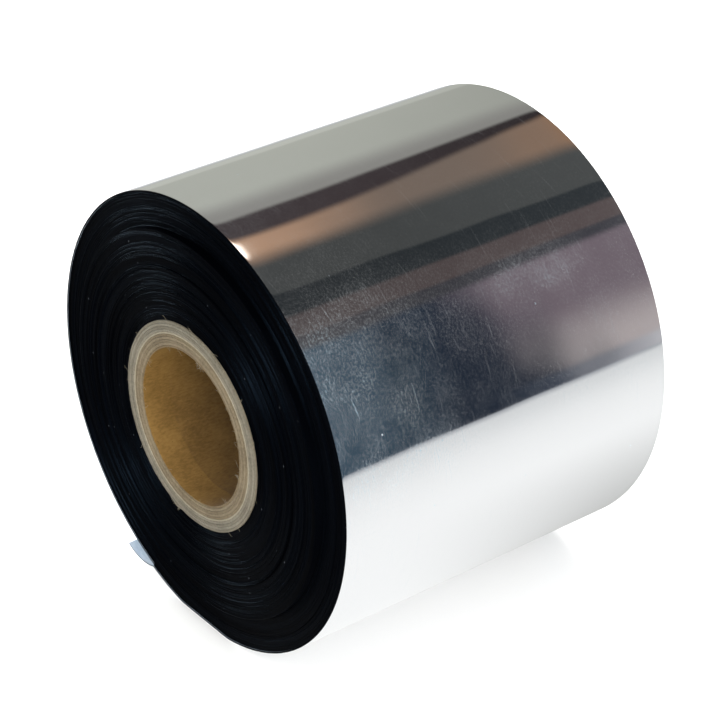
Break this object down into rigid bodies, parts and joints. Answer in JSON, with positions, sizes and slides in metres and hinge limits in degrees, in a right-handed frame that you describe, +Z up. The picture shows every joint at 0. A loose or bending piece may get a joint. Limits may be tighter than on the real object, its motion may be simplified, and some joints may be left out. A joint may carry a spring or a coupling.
{
  "type": "foil tape roll",
  "caption": "Roll of mirror-faced foil tape wound in two runs on a laminated paper core, with a free tail that peels away from the roll.",
  "frame": {"origin": "on the roll's axis, at the middle of the core's length", "axes": "Y along the roll's axis with the proud end of the core towards -Y, Z up from the flat that the roll lies on"},
  "size_m": [0.0739, 0.0636, 0.0738],
  "materials": {
    "kraft": "matte",
    "board": "matte",
    "cream": "matte",
    "wound_edge": "satin",
    "foil": "polished",
    "adhesive": "satin"
  },
  "bodies": {
    "roll": {"kraft_liner": "kraft", "inner_board_ply_1": "board", "inner_board_ply_2": "board", "inner_board_ply_3": "board", "inner_board_ply_4": "board", "cream_ply": "cream", "outer_board_ply_1": "board", "outer_board_ply_2": "board", "outer_board_ply_3": "board", "outer_board_ply_4": "board", "inner_winding": "wound_edge", "outer_winding": "wound_edge", "outer_turn_adhesive": "adhesive", "outer_turn_foil": "foil"},
    "tail": {"tail_adhesive": "adhesive", "tail_foil": "foil"}
  },
  "joints": [
    {"name": "tail_peel", "type": "hinge", "parent": "roll", "child": "tail", "pos_m": [-0.01457, 0, -0.03433], "axis": [0, -1, 0], "range_deg": [-21, 67], "stiffness_Nm_per_rad": 0.0005}
  ]
}
